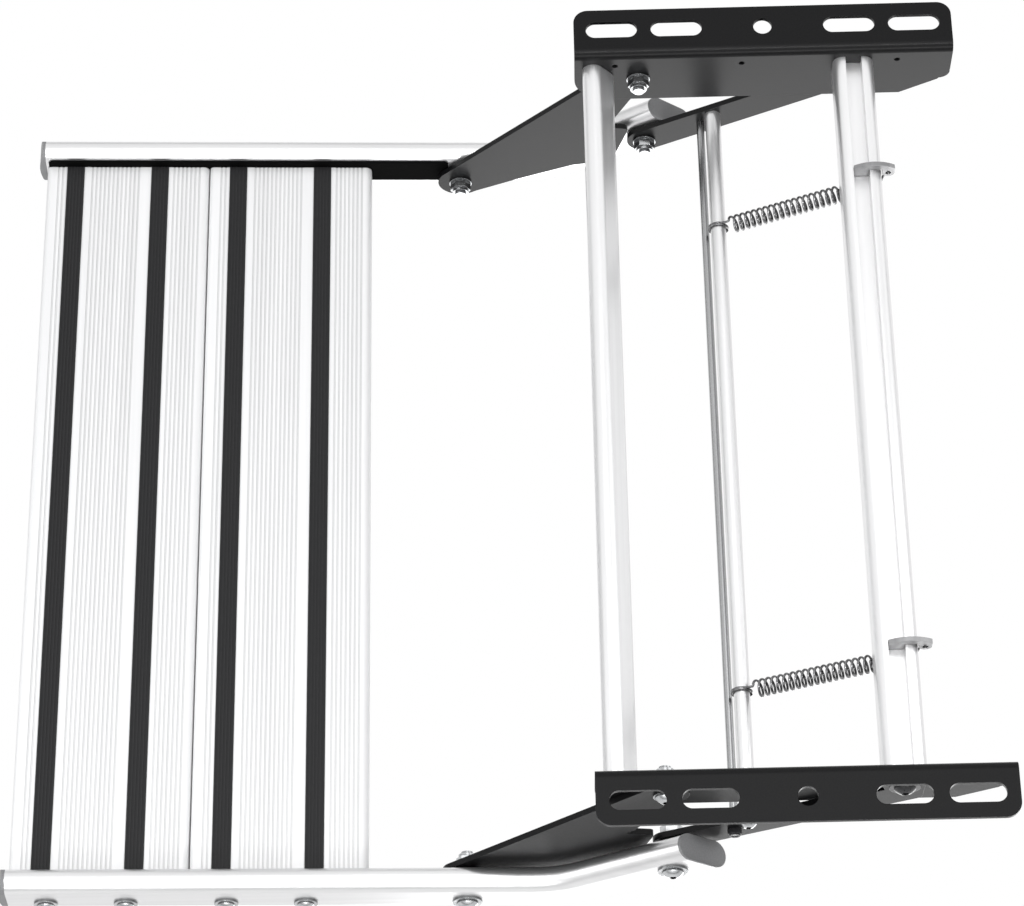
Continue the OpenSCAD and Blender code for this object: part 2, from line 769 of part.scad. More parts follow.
// Threaded end, washer and lock nut on a front link's inner face, at the arm
module front_link_nut(side) {
    nut_space = washer_t + nut_h + 2;
    color(zinc) on_side(side) {
        pin(arm_front_pivot, link_in - nut_space, link_t + nut_space, bolt_d / 2);
        translate([arm_front_pivot[0], link_in - washer_t, arm_front_pivot[1]]) {
            washer(nut_washer_d, bolt_d / 2 - eps, washer_t);
            lock_nut(nut_across, nut_h, bolt_d / 2 - eps);
        }
    }
}

module front_link_nut_left() { front_link_nut(1); }
module front_link_nut_right() { front_link_nut(-1); }

// Arm: a flat sided oval tube, straight under the treads and bent up at the rear.
// The child is the tube's section, and the arm's own frame has its origin at the bend's corner
module arm_run() {
    translate([-bend_tangent, 0, 0]) rotate([0, -90, 0]) rotate([0, 0, 90])
        linear_extrude(arm_front_len - bend_tangent) children();
    translate([-bend_tangent, 0, arm_bend_r]) rotate([90, 0, 0]) rotate([0, 0, -90])
        rotate_extrude(angle = arm_bend) translate([arm_bend_r, 0]) rotate(90) children();
    rotate([0, -arm_bend, 0]) translate([bend_tangent, 0, 0]) rotate([0, 90, 0])
        rotate([0, 0, 90]) linear_extrude(arm_rear_len + arm_h / 2 - bend_tangent) children();
}

// Moves children to the slanted cut at the arm's rear end, where +X is the cut's outward side
module at_rear_cut() {
    rotate([0, -arm_bend, 0]) translate([arm_rear_len, 0, 0]) rotate([0, -rear_cut, 0]) children();
}

module inlay_outline() {
    len = arm_front_len - inlay_start + inlay_end;
    translate([-arm_front_len + inlay_start + len / 2, 0]) rounded_square(len, inlay_h, 4);
}

module arm(side) {
    color(bare_alu) on_side(side) in_arm_frame() difference() {
        translate([0, arm_in + arm_w / 2, 0]) arm_run() difference() {
            stadium(arm_w, arm_h);
            stadium(arm_w - 2 * arm_wall, arm_h - 2 * arm_wall);
        }
        at_rear_cut() translate([0, arm_in - 1, -arm_h]) cube([arm_h, arm_w + 2, 2 * arm_h]);
        upright(arm_in - 1, inlay_t + 1) inlay_outline();
        for (x = plank_starts, p = port_x)
            pin([x + p, port_z], arm_in - 1, arm_w + 2, screw_d / 2 + seat_gap);
        pin(arm_front_local, arm_in - 1, arm_w + 2, bolt_d / 2 + seat_gap);
        pin(arm_rear_local, arm_in - 1, arm_w + 2, bolt_d / 2 + seat_gap);
    }
}

module arm_left() { arm(1); }
module arm_right() { arm(-1); }

module arm_inlays() {
    color(dark_rubber) for (side = [-1, 1]) on_side(side) in_arm_frame() difference() {
        upright(tread_half, inlay_proud + inlay_t) inlay_outline();
        for (x = plank_starts, p = port_x)
            pin([x + p, port_z], tread_half - 1, inlay_proud + inlay_t + 2, screw_d / 2 + seat_gap);
    }
}

// The inside of the tube's section less a small clearance, as a ring
module plug_section() {
    difference() {
        stadium(arm_w - 2 * (arm_wall + seat_gap), arm_h - 2 * (arm_wall + seat_gap));
        stadium(arm_w - 2 * (arm_wall + 1.5), arm_h - 2 * (arm_wall + 1.5));
    }
}

// A bar of the child's section along +X, from x0, in the middle of the arm's width
module along_arm(x0, len) {
    translate([x0, arm_in + arm_w / 2, 0]) rotate([0, 90, 0]) rotate([0, 0, 90])
        linear_extrude(len) children();
}

plug_len = 10;

// Front end cap: a domed plate on the tube's end and a plug inside it
module front_end_caps() {
    dome_r = (arm_h * arm_h / 4 + cap_dome * cap_dome) / (2 * cap_dome);
    color(cap_grey) for (side = [-1, 1]) on_side(side) in_arm_frame()
        translate([-arm_front_len, 0, 0]) {
            intersection() {
                along_arm(-cap_t - cap_dome, cap_t + cap_dome) stadium(arm_w, arm_h);
                translate([dome_r - cap_t - cap_dome, arm_in + arm_w / 2, 0]) rotate([90, 0, 0])
                    cylinder(r = dome_r, h = arm_w + 2, center = true, $fn = 128);
            }
            along_arm(-eps, plug_len) plug_section();
        }
}

// Rear end cap: a plate on the slanted cut, a little larger than the tube, and a plug
module rear_end_caps() {
    reach = plug_len + arm_h;
    color(cap_grey) for (side = [-1, 1]) on_side(side) in_arm_frame() {
        intersection() {
            rotate([0, -arm_bend, 0]) along_arm(arm_rear_len - reach, 2 * reach)
                stadium(arm_w + 2 * cap_lip, arm_h + 2 * cap_lip);
            at_rear_cut() translate([0, arm_in - 1, -arm_h]) cube([cap_t, arm_w + 2, 2 * arm_h]);
        }
        intersection() {
            rotate([0, -arm_bend, 0]) along_arm(arm_rear_len - reach, 2 * reach) plug_section();
            at_rear_cut() translate([-plug_len, arm_in, -arm_h])
                cube([plug_len + eps, arm_w, 2 * arm_h]);
        }
    }
}

// Tread planks
plank_starts = [tread_front_x, tread_front_x + plank_w + plank_gap];
// Runs of fine grooves, each as its first groove's place and the number of grooves
groove_runs = [[8.5, 2], [33.5, 12], [strip_x[1] + strip_w / 2 + 4.2, 7]];

module plank_outline() {
    front_r = 3;
    back_r = 5;
    under = strip_groove + plank_wall;
    cells = [plank_wall, port_x[0] - 1, port_x[0] + 1, port_x[1] - 1, port_x[1] + 1, plank_w - plank_wall];
    difference() {
        union() {
            translate([0, -plank_h]) square([plank_w, plank_h - back_r]);
            translate([front_r, -back_r - eps]) square([plank_w - front_r - back_r, back_r + eps]);
            translate([0, -back_r]) square([front_r, back_r - front_r]);
            translate([front_r, -front_r]) circle(front_r);
            translate([plank_w - back_r, -back_r]) circle(back_r);
        }
        // Hollow cells between the skin, the ends and the two upright webs
        difference() {
            for (i = [0 : 2])
                translate([cells[2 * i], -plank_h + plank_wall])
                    square([cells[2 * i + 1] - cells[2 * i], plank_h - plank_wall - under]);
            for (p = port_x) translate([p, -port_depth]) circle(port_r);
        }
        for (p = port_x) translate([p, -port_depth]) circle(screw_d / 2 + seat_gap);
        for (s = strip_x) translate([s, 0]) square([strip_w, 2 * strip_groove], center = true);
        for (run = groove_runs, i = [0 : run[1] - 1])
            translate([run[0] + i * groove_pitch, 0]) square([groove_w, 2 * groove_depth], center = true);
    }
}

module plank(start) {
    color(bare_alu) in_arm_frame() translate([start, 0, tread_rise])
        upright(-tread_half, tread_len) plank_outline();
}

module tread_front() { plank(plank_starts[0]); }
module tread_rear() { plank(plank_starts[1]); }

// Rubber grip strip with ridges along its length
module strip_outline() {
    w = strip_w - 0.1;
    ridge = w / (2 * strip_ridges - 1);
    body = strip_groove + strip_proud - 0.5;
    translate([-w / 2, -strip_groove]) square([w, body]);
    for (i = [0 : strip_ridges - 1])
        translate([-w / 2 + 2 * i * ridge, -strip_groove]) square([ridge, body + 0.5]);
}

module grip_strips(start) {
    color(dark_rubber) in_arm_frame() for (s = strip_x)
        translate([start + s, 0, tread_rise]) upright(-tread_half, tread_len) strip_outline();
}

module grip_strips_front() { grip_strips(plank_starts[0]); }
module grip_strips_rear() { grip_strips(plank_starts[1]); }

// Tread bolts, through the arm into the planks' screw ports
module tread_bolts(side) {
    thread = 22;
    color(zinc) on_side(side) in_arm_frame() for (x = plank_starts, p = port_x) {
        pin([x + p, port_z], arm_in - thread, arm_w + thread + eps, screw_d / 2);
        translate([x + p, arm_out, port_z]) {
            washer(tread_washer_d, screw_d / 2 - eps, washer_t);
            translate([0, washer_t, 0]) button_head(11, 3.4, 4);
        }
    }
}

module tread_bolts_left() { tread_bolts(1); }
module tread_bolts_right() { tread_bolts(-1); }

// The bolt of the opened pivot ends in the spacer, just short of the front link
module arm_front_bolts() {
    color(zinc) for (side = [-1, 1]) on_side(side) {
        pin(arm_front_pivot, link_out + slide_gap, arm_out - link_out - slide_gap + eps, bolt_d / 2);
        translate([arm_front_pivot[0], arm_out, arm_front_pivot[1]]) head_with_washer(head_washer_d);
    }
}

module arm_rear_bolts() {
    nut_space = washer_t + nut_h + 2;
    color(zinc) for (side = [-1, 1]) on_side(side) {
        pin(arm_rear_pivot, link_in - nut_space, arm_out - link_in + nut_space + eps, bolt_d / 2);
        translate([arm_rear_pivot[0], arm_out, arm_rear_pivot[1]]) head_with_washer(head_washer_d);
    }
}

module arm_rear_nuts() {
    color(zinc) for (side = [-1, 1]) on_side(side)
        translate([arm_rear_pivot[0], link_in - slide_gap - washer_t, arm_rear_pivot[1]]) {
            washer(nut_washer_d, bolt_d / 2 + seat_gap, washer_t);
            lock_nut(nut_across, nut_h, bolt_d / 2 + seat_gap);
        }
}

// Spacer washers between the arms and the links
module arm_spacers() {
    color(zinc) for (side = [-1, 1], p = [arm_front_pivot, arm_rear_pivot]) on_side(side)
        translate([p[0], arm_in - slide_gap - washer_t, p[1]])
            washer(nut_washer_d, bolt_d / 2 + seat_gap, washer_t);
}

bracket_left();
bracket_right();
front_cross_tube();
front_tube_screws();
rear_cross_member();
spring_tab_left();
spring_tab_right();
spring_left();
spring_right();
bracket_pivot_bolts();
bracket_pivot_nuts();
rear_pivot_bolts();
rear_link_left();
rear_link_right();
rear_link_bushes();
swing_tube();
swing_tube_screws();
tie_rod();
tie_rod_nuts();
front_link_left();
front_link_right();
front_link_bush_left();
front_link_bush_right();
front_link_nut_left();
front_link_nut_right();
arm_left();
arm_right();
front_end_caps();
rear_end_caps();
arm_inlays();
tread_front();
tread_rear();
grip_strips_front();
grip_strips_rear();
tread_bolts_left();
tread_bolts_right();
arm_front_bolts();
arm_rear_bolts();
arm_rear_nuts();
arm_spacers();
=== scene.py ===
import json
import math
import bpy
import numpy as np
from mathutils import Matrix, Vector


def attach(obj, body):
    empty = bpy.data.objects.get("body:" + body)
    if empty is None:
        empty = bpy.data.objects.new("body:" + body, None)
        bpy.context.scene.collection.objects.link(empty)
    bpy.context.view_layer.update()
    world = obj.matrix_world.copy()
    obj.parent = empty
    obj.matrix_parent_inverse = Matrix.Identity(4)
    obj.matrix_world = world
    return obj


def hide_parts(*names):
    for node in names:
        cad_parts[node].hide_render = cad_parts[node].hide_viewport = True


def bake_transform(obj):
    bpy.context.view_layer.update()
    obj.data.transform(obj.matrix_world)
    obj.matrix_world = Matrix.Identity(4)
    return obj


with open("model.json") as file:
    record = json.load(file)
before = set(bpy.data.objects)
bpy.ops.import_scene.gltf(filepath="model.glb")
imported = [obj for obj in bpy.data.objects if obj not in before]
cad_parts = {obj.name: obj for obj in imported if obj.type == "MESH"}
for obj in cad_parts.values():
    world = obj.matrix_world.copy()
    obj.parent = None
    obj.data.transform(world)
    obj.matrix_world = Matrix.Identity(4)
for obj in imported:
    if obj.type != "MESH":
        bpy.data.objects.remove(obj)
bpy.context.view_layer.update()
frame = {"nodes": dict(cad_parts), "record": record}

# The look of a folding vehicle entry step. The CAD nodes are the frame; this file gives them
# their finishes, swaps the plain springs for smooth wire and the dark strips in the arms for
# lower ones, and adds the camera, the lamps and the white room.

nodes = frame["nodes"]
record = frame["record"]


# What the shared shader groups have in common: lengths in metres, noise scales per metre.
# The masks of the noises are spread from their usual range, maskLow to maskHigh.
groupLook = {
    "bevelSamples": 4, "edgeRadius": 0.0004, "maskLow": 0.3, "maskHigh": 0.7,
    "pebbleDetail": 3.0, "pebbleRoughness": 0.55, "pebbleDepth": 0.00015,
    "fineScale": 1600.0, "fineRoughness": 0.6, "broadScale": 140.0, "broadRoughness": 0.5,
    "lineDetail": 2.0, "lineDepth": 0.00008,
    # The samples and the closed openness below tune the painted shade in crevices.
    "paintedShadeSamples": 6, "paintedShadeClosed": 0.35,  # the openness that counts as fully closed
}


# Adds a node, sets its properties and fills or links its inputs by name or index.
def addNode(tree, kind, inputs=None, **settings):
    made = tree.nodes.new(kind)
    for name, value in settings.items():
        setattr(made, name, value)
    for name, value in (inputs or {}).items():
        if isinstance(value, bpy.types.NodeSocket):
            tree.links.new(value, made.inputs[name])
        else:
            made.inputs[name].default_value = value
    return made


# A shader group with the given float inputs and (name, type) outputs.
def newGroup(name, inputs, outputs):
    tree = bpy.data.node_groups.new(name, "ShaderNodeTree")
    for label, value in inputs.items():
        socket = tree.interface.new_socket(
            label, in_out="INPUT", socket_type="NodeSocketFloat")
        socket.default_value = value
    for label, kind in outputs:
        tree.interface.new_socket(label, in_out="OUTPUT", socket_type=kind)
    return tree, tree.nodes.new("NodeGroupInput"), tree.nodes.new("NodeGroupOutput")


# Normals that turn smoothly over each sharp edge, as a small radius does.
def buildRoundedEdges():
    tree, source, sink = newGroup(
        "roundedEdges", {"Radius": groupLook["edgeRadius"]}, [("Normal", "NodeSocketVector")])
    bevel = addNode(tree, "ShaderNodeBevel", {"Radius": source.outputs["Radius"]},
                    samples=groupLook["bevelSamples"])
    tree.links.new(bevel.outputs["Normal"], sink.inputs["Normal"])
    return tree


# The fine pebbled surface of a powder coat, as a mask and a normal.
def buildOrangePeel(edges):
    tree, source, sink = newGroup(
        "orangePeel", {"Scale": 900.0, "Strength": 0.12, "Edge": 0.0006},
        [("Mask", "NodeSocketFloat"), ("Normal", "NodeSocketVector")])
    place = addNode(tree, "ShaderNodeTexCoord")
    rounded = addNode(tree, "ShaderNodeGroup", {"Radius": source.outputs["Edge"]}, node_tree=edges)
    pebbles = addNode(tree, "ShaderNodeTexNoise", {
        "Vector": place.outputs["Object"], "Scale": source.outputs["Scale"],
        "Detail": groupLook["pebbleDetail"], "Roughness": groupLook["pebbleRoughness"]})
    bump = addNode(tree, "ShaderNodeBump", {
        "Strength": source.outputs["Strength"], "Distance": groupLook["pebbleDepth"],
        "Height": pebbles.outputs["Fac"], "Normal": rounded.outputs["Normal"]})
    tree.links.new(pebbles.outputs["Fac"], sink.inputs["Mask"])
    tree.links.new(bump.outputs["Normal"], sink.inputs["Normal"])
    return tree


# Faint lines along one axis, as an extrusion die or a drawing die leaves them.
def buildDieLines(edges):
    tree, source, sink = newGroup(
        "dieLines",
        {"Along X": 1.0, "Along Y": 1.0, "Along Z": 1.0, "Strength": 0.1, "Edge": 0.0004},
        [("Mask", "NodeSocketFloat"), ("Broad", "NodeSocketFloat"),
         ("Normal", "NodeSocketVector")])
    place = addNode(tree, "ShaderNodeTexCoord")
    stretch = addNode(tree, "ShaderNodeCombineXYZ", {
        axis: source.outputs["Along " + axis] for axis in "XYZ"})
    spread = addNode(tree, "ShaderNodeVectorMath", {
        0: place.outputs["Object"], 1: stretch.outputs["Vector"]}, operation="MULTIPLY")
    fine, broad = (addNode(tree, "ShaderNodeTexNoise", {
        "Vector": spread.outputs["Vector"], "Scale": groupLook[kind + "Scale"],
        "Detail": groupLook["lineDetail"], "Roughness": groupLook[kind + "Roughness"],
    }) for kind in ("fine", "broad"))
    rounded = addNode(tree, "ShaderNodeGroup", {"Radius": source.outputs["Edge"]}, node_tree=edges)
    bump = addNode(tree, "ShaderNodeBump", {
        "Strength": source.outputs["Strength"], "Distance": groupLook["lineDepth"],
        "Height": fine.outputs["Fac"], "Normal": rounded.outputs["Normal"]})
    tree.links.new(fine.outputs["Fac"], sink.inputs["Mask"])
    tree.links.new(broad.outputs["Fac"], sink.inputs["Broad"])
    tree.links.new(bump.outputs["Normal"], sink.inputs["Normal"])
    return tree


# How open a place is, for painted shade: 1 on open faces, less in grooves and at the foot of a nut
# or washer.
def buildCreviceShade():
    tree, source, sink = newGroup(
        "creviceShade", {"Reach": 0.002, "Depth": 0.5}, [("Open", "NodeSocketFloat")])
    near = addNode(tree, "ShaderNodeAmbientOcclusion", {"Distance": source.outputs["Reach"]},
                   samples=groupLook["paintedShadeSamples"])
    least = addNode(tree, "ShaderNodeMath", {0: 1.0, 1: source.outputs["Depth"]},
                    operation="SUBTRACT")
    openness = addNode(tree, "ShaderNodeMapRange", {
        "Value": near.outputs["AO"], "From Min": groupLook["paintedShadeClosed"], "From Max": 1.0,
        "To Min": least.outputs[0], "To Max": 1.0})
    tree.links.new(openness.outputs["Result"], sink.inputs["Open"])
    return tree


roundedEdges = buildRoundedEdges()
creviceShade = buildCreviceShade()
orangePeel = buildOrangePeel(roundedEdges)
dieLines = buildDieLines(roundedEdges)


# An empty node material with its surface shader linked to the output.
def newMaterial(name):
    material = bpy.data.materials.new(name)
    material.use_nodes = True
    tree = material.node_tree
    tree.nodes.clear()
    shader = tree.nodes.new("ShaderNodeBsdfPrincipled")
    output = tree.nodes.new("ShaderNodeOutputMaterial")
    tree.links.new(shader.outputs["BSDF"], output.inputs["Surface"])
    return material, tree, shader


# A value that runs from low to high over the mask's usual range.
def between(tree, mask, low, high):
    span = addNode(tree, "ShaderNodeMapRange", {
        "Value": mask, "From Min": groupLook["maskLow"], "From Max": groupLook["maskHigh"],
        "To Min": low, "To Max": high})
    return span.outputs["Result"]


# A colour that runs from low to high with the mask. In a mix node of colours, inputs 6 and 7
# and output 2 are the ones that hold colours.
def colourBetween(tree, mask, low, high):
    span = between(tree, mask, 0.0, 1.0)
    mixed = addNode(tree, "ShaderNodeMix", {"Factor": span, 6: (*low, 1.0), 7: (*high, 1.0)},
                    data_type="RGBA")
    return mixed.outputs[2]


# Black powder coat: dark, satin, with a pebbled surface.
def coatMaterial(name, look):
    material, tree, shader = newMaterial(name)
    peel = addNode(tree, "ShaderNodeGroup", {
        "Scale": look["pebbleScale"], "Strength": look["pebbleStrength"],
        "Edge": look["edgeRadius"]}, node_tree=orangePeel)
    mask = peel.outputs["Mask"]
    colour = colourBetween(tree, mask, look["dark"], look["light"])
    tree.links.new(colour, shader.inputs["Base Color"])
    tree.links.new(between(tree, mask, *look["roughness"]), shader.inputs["Roughness"])
    tree.links.new(peel.outputs["Normal"], shader.inputs["Normal"])
    shader.inputs["Specular IOR Level"].default_value = look["specular"]
    return material


# Bare or plated metal with faint lines along one axis.
def metalMaterial(name, look, along):
    material, tree, shader = newMaterial(name)
    lines = addNode(tree, "ShaderNodeGroup", {
        "Along X": 1.0, "Along Y": 1.0, "Along Z": 1.0, "Strength": look["lineStrength"],
        "Edge": look["edgeRadius"]}, node_tree=dieLines)
    lines.inputs["Along " + along].default_value = look["stretch"]
    colour = colourBetween(tree, lines.outputs["Broad"], look["dark"], look["light"])
    # Painted shade: where the look gives a reach, the base colour is darkened in grooves and at
    # the foot of nuts and washers by how open the place is.
    if "paintedShadeReach" in look:
        shade = addNode(tree, "ShaderNodeGroup", {
            "Reach": look["paintedShadeReach"], "Depth": look["paintedShadeDepth"]}, node_tree=creviceShade)
        shaded = addNode(tree, "ShaderNodeVectorMath", {
            0: colour, "Scale": shade.outputs["Open"]}, operation="SCALE")
        colour = shaded.outputs["Vector"]
    tree.links.new(colour, shader.inputs["Base Color"])
    roughness = between(tree, lines.outputs["Mask"], *look["roughness"])
    tree.links.new(roughness, shader.inputs["Roughness"])
    tree.links.new(lines.outputs["Normal"], shader.inputs["Normal"])
    shader.inputs["Metallic"].default_value = look["metallic"]
    return material


# The finishes. Dark and light are the two ends of the base colour, and a stretch under 1 draws
# the noise out along the piece.
# Where a look has a paintedShadeReach, its base colour is darkened in crevices as painted shade.
coatLook = {
    "dark": (0.0035, 0.0035, 0.004), "light": (0.007, 0.007, 0.0075),
    "roughness": (0.28, 0.36), "specular": 0.16, "pebbleScale": 900.0, "pebbleStrength": 0.08,
    "edgeRadius": 0.0005,
}
aluLook = {
    "dark": (0.76, 0.76, 0.765), "light": (0.84, 0.84, 0.845),
    "roughness": (0.3, 0.38), "metallic": 0.9,
    "stretch": 0.02, "lineStrength": 0.1, "edgeRadius": 0.0004,
}
crossLook = {
    "dark": (0.80, 0.80, 0.805), "light": (0.88, 0.88, 0.885),
    "roughness": (0.3, 0.38), "metallic": 0.85,
    "stretch": 0.02, "lineStrength": 0.1, "edgeRadius": 0.0004,
}
# The treads' base colour is darkened in their grooves: painted shade.
treadLook = {
    "dark": (0.82, 0.82, 0.825), "light": (0.88, 0.88, 0.885),
    "roughness": (0.45, 0.55), "metallic": 0.3,
    "stretch": 0.02, "lineStrength": 0.08, "edgeRadius": 0.00025,
    "paintedShadeReach": 0.0012, "paintedShadeDepth": 0.35,
}
# Zinc's base colour is darkened in rings at the foot of heads, nuts and washers: painted shade.
zincLook = {
    "dark": (0.42, 0.43, 0.44), "light": (0.66, 0.67, 0.68),
    "roughness": (0.16, 0.26), "metallic": 1.0,
    "stretch": 1.0, "lineStrength": 0.05, "edgeRadius": 0.0002,
    "paintedShadeReach": 0.006, "paintedShadeDepth": 0.95,
}
rodLook = {
    "dark": (0.34, 0.345, 0.35), "light": (0.5, 0.505, 0.51),
    "roughness": (0.22, 0.3), "metallic": 1.0,
    "stretch": 0.01, "lineStrength": 0.04, "edgeRadius": 0.0002,
}
# The spring's base colour is kept dark as a painted dark reflection, and its coils are darkened
# further by painted shade.
springPaintedShadeLook = {
    "dark": (0.14, 0.14, 0.145), "light": (0.3, 0.3, 0.305),
    "roughness": (0.14, 0.22), "metallic": 1.0,
    "stretch": 1.0, "lineStrength": 0.03, "edgeRadius": 0.0001,
    "paintedShadeReach": 0.012, "paintedShadeDepth": 0.98,
}
# The tab's base colour is darkened where it meets other parts: painted shade.
tabLook = {
    "dark": (0.26, 0.26, 0.265), "light": (0.36, 0.36, 0.365),
    "roughness": (0.36, 0.46), "metallic": 0.8,
    "stretch": 0.1, "lineStrength": 0.12, "edgeRadius": 0.0003,
    "paintedShadeReach": 0.003, "paintedShadeDepth": 0.6,
}
bronzeLook = {
    "dark": (0.35, 0.27, 0.14), "light": (0.48, 0.37, 0.2),
    "roughness": (0.35, 0.5), "metallic": 1.0,
    "stretch": 1.0, "lineStrength": 0.1, "edgeRadius": 0.0003,
}
rubberLook = {
    "dark": (0.008, 0.008, 0.009), "light": (0.016, 0.016, 0.017), "roughness": (0.5, 0.65),
    "specular": 0.3, "pebbleScale": 500.0, "pebbleStrength": 0.15, "edgeRadius": 0.0002,
}
inlayLook = {
    "dark": (0.002, 0.002, 0.002), "light": (0.004, 0.004, 0.004), "roughness": (0.75, 0.85),
    "specular": 0.03, "pebbleScale": 600.0, "pebbleStrength": 0.2, "edgeRadius": 0.0002,
}
capLook = {
    "dark": (0.24, 0.24, 0.245), "light": (0.29, 0.29, 0.295), "roughness": (0.4, 0.5),
    "specular": 0.4, "pebbleScale": 1100.0, "pebbleStrength": 0.2, "edgeRadius": 0.0008,
}
darkNutLook = {
    "dark": (0.02, 0.02, 0.022), "light": (0.045, 0.045, 0.048), "roughness": (0.26, 0.36),
    "specular": 0.5, "pebbleScale": 700.0, "pebbleStrength": 0.1, "edgeRadius": 0.0003,
}

blackCoat = coatMaterial("blackCoat", coatLook)
armAlu = metalMaterial("armAluminium", aluLook, "X")
crossAlu = metalMaterial("crossAluminium", crossLook, "Y")
treadAlu = metalMaterial("treadAluminium", treadLook, "Y")
zinc = metalMaterial("zincPlate", zincLook, "Z")
rodSteel = metalMaterial("platedRod", rodLook, "Y")
springSteel = metalMaterial("springSteel", springPaintedShadeLook, "Z")
tabSteel = metalMaterial("tabSteel", tabLook, "Y")
bronze = metalMaterial("bronze", bronzeLook, "Z")
rubber = coatMaterial("blackRubber", rubberLook)
inlayRubber = coatMaterial("inlayRubber", inlayLook)
capPlastic = coatMaterial("greyPlastic", capLook)
darkNut = coatMaterial("darkOxide", darkNutLook)

slotMaterials = {
    "black_coat": blackCoat, "bare_alu": crossAlu, "zinc": zinc, "dark_nut": darkNut,
    "bronze": bronze, "spring_steel": springSteel, "grey_plastic": capPlastic,
    "tab_steel": tabSteel, "dark_rubber": rubber,
}
nodeMaterials = {
    "arm_left": armAlu, "arm_right": armAlu, "tread_front": treadAlu, "tread_rear": treadAlu,
    "tie_rod": rodSteel,
}
for part in record["subparts"]:
    obj = nodes[part["node"]]
    material = nodeMaterials.get(part["node"], slotMaterials[part["material_slot"]])
    obj.data.materials.clear()
    obj.data.materials.append(material)
print("finishes on", len(nodes), "nodes")

# Springs of round wire, in place of the plain ones with flat facets. Places are (X, Z) in
# metres, angles are degrees, and hookPitch is the double ring's half width in wire radii.
springLook = {
    "wire": 0.00086, "sides": 10, "stepsBetween": 2, "places": {"left": 0.1745, "right": -0.1815},
    "tubeAt": (-0.033024, -0.0850), "hookRadius": 0.0066, "hookPitch": 1.05,
    "hookFrom": -140.0, "hookTo": 500.0, "hookStep": 20.0,
    "coilRadius": 0.0056, "turns": 19, "turnSteps": 16, "coilStart": 0.01055, "coilLength": 0.084,
    "legSide": 0.0025, "legGap": 0.0028, "legRise": 0.0012, "legShort": 0.0015,
    "cornerAt": (0.056, -0.030), "farCornerAt": (0.070, -0.030), "wrapRadius": 0.00805,
    "wrapSteps": 7, "farWrap": (-75, 0),
    "earAt": (0.0815, -0.0132), "earLean": 0.0012, "earRise": 0.005, "earBend": 0.0016,
    "earTurn": (0.0009, 0.0003), "earMiddle": 0.0006,
}


# A smooth path through the rows of points: each stretch is the cubic whose slope at a point
# is half the step between its two neighbours.
def smoothRows(rows, steps):
    padded = np.vstack([2 * rows[0] - rows[1], rows, 2 * rows[-1] - rows[-2]])
    a, b, c, d = padded[:-3], padded[1:-2], padded[2:-1], padded[3:]
    t = (np.arange(steps) / steps)[None, :, None]
    a, b, c, d = (q[:, None, :] for q in (a, b, c, d))
    cubic = b + 0.5 * t * (c - a + t * (2 * a - 5 * b + 4 * c - d + t * (3 * (b - c) + d - a)))
    return np.vstack([cubic.reshape(-1, rows.shape[1]), rows[-1:]])


# The wire's middle line and, beside it, a direction that points across the wire:
# a double ring round the swing tube, a helix along the coil's axis, and a leg that wraps
# under the cross member and goes through the tab's ear.
def springRows(look):
    tube, corner, farCorner = (np.array(look[k]) for k in ("tubeAt", "cornerAt", "farCornerAt"))
    line = corner - tube
    reach = np.linalg.norm(line)
    angle = math.atan2(line[1], line[0]) - math.asin(look["wrapRadius"] / reach)
    along = np.array((math.cos(angle), math.sin(angle)))
    above = np.array((-along[1], along[0]))
    straight = math.sqrt(reach ** 2 - look["wrapRadius"] ** 2)

    def rows(s, h, y, ds, dh, dy):
        s, h, y, ds, dh, dy = np.broadcast_arrays(s, h, y, ds, dh, dy)
        at = tube + np.outer(s, along) + np.outer(h, above)
        across = np.outer(ds, along) + np.outer(dh, above)
        return np.column_stack([at[:, 0], y, at[:, 1], across[:, 0], dy, across[:, 1]])

    turn = np.radians(np.arange(look["hookFrom"], look["hookTo"] + 1.0, look["hookStep"]))
    radius = look["hookRadius"]
    hook = rows(-radius * np.cos(turn), radius * np.sin(turn),
                np.linspace(-1.0, 1.0, len(turn)) * look["wire"] * look["hookPitch"],
                -np.cos(turn), np.sin(turn), 0.0)
    spin = np.linspace(0.0, 2 * np.pi * look["turns"], look["turns"] * look["turnSteps"] + 1)
    coil = rows(look["coilStart"] + look["coilLength"] * spin / spin[-1],
                look["coilRadius"] * np.cos(spin), look["coilRadius"] * np.sin(spin),
                0.0, np.cos(spin), np.sin(spin))
    side = look["legSide"]
    end = look["coilStart"] + look["coilLength"]
    leg = rows(np.array([end + look["legGap"], straight - look["legShort"]]),
               np.array([look["legRise"], 0.0]), np.array([side * 0.5, side]), 0.0, 1.0, 0.0)

    def wrap(centre, start, stop):
        a = np.radians(np.linspace(start, stop, look["wrapSteps"]))
        ring = np.column_stack([np.cos(a), np.sin(a)])
        at = centre + look["wrapRadius"] * ring
        level = np.zeros(len(a))
        return np.column_stack([at[:, 0], level + side, at[:, 1], -ring[:, 0], level, -ring[:, 1]])

    x, z = look["earAt"]
    inward, down = look["earTurn"]
    ear = np.array([
        (x - look["earLean"], side, z - look["earRise"], -1, 0, 0),
        (x, side, z - look["earBend"], -1, 0, 0),
        (x, side - inward, z - down, -1, 0, 0),
        (x, look["earMiddle"], z, -1, 0, 0),
        (x, -side, z, -1, 0, 0)])
    return np.vstack([hook, coil, leg, wrap(corner, math.degrees(angle) - 90, -90),
                      wrap(farCorner, *look["farWrap"]), ear])


